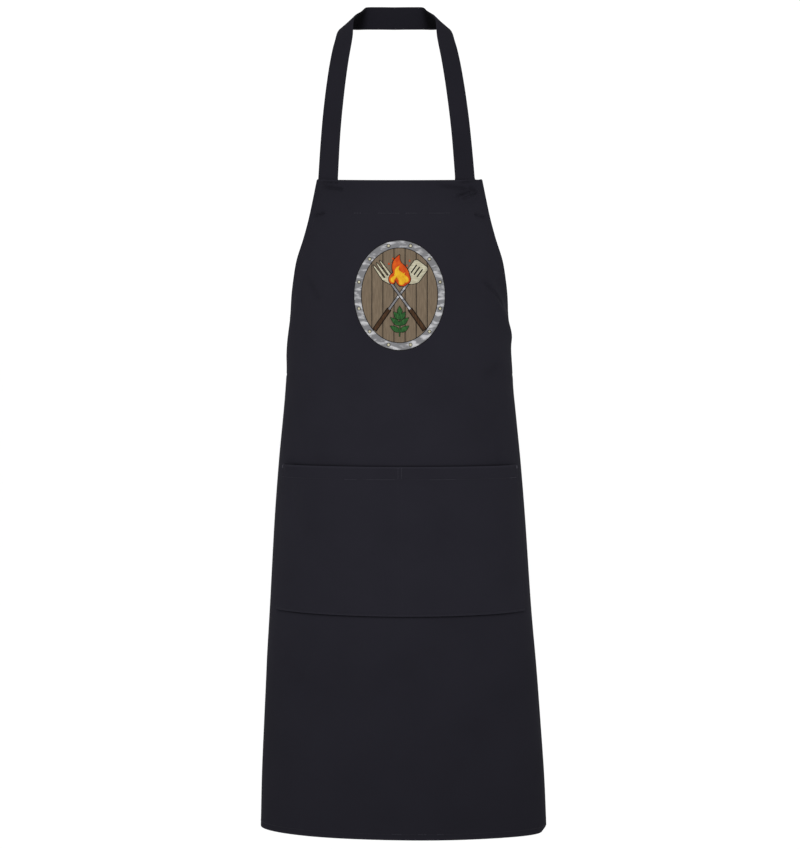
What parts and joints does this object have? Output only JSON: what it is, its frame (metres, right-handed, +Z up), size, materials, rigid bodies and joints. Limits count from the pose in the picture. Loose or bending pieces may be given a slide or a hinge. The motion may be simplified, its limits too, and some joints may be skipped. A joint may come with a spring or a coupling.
{
  "type": "bbq apron",
  "caption": "Worn bib apron of dark cotton twill with a neck strap, wide front pocket, printed badge and ties knotted at the back.",
  "frame": {"origin": "the place at the back of the neck, on the inner face of the strap's middle, from which the worn apron hangs", "axes": "+Z up along the apron's length, -Y out of its front, +X to the wearer's left"},
  "size_m": [0.402, 0.2597, 1.1625],
  "materials": {
    "body_twill": "matte dark navy cotton twill",
    "pocket_twill": "matte dark navy cotton twill",
    "strap_twill": "matte dark navy cotton twill, folded and stitched",
    "tie_twill": "matte dark navy cotton twill, folded and stitched",
    "print_ink": "matte screen print on the twill's weave"
  },
  "bodies": {
    "root": {"apron_body": "body_twill", "front_pocket": "pocket_twill", "neck_strap": "strap_twill", "waist_tie_left": "tie_twill", "waist_tie_right": "tie_twill", "tie_knot": "tie_twill", "chest_print": "print_ink"}
  },
  "joints": []
}
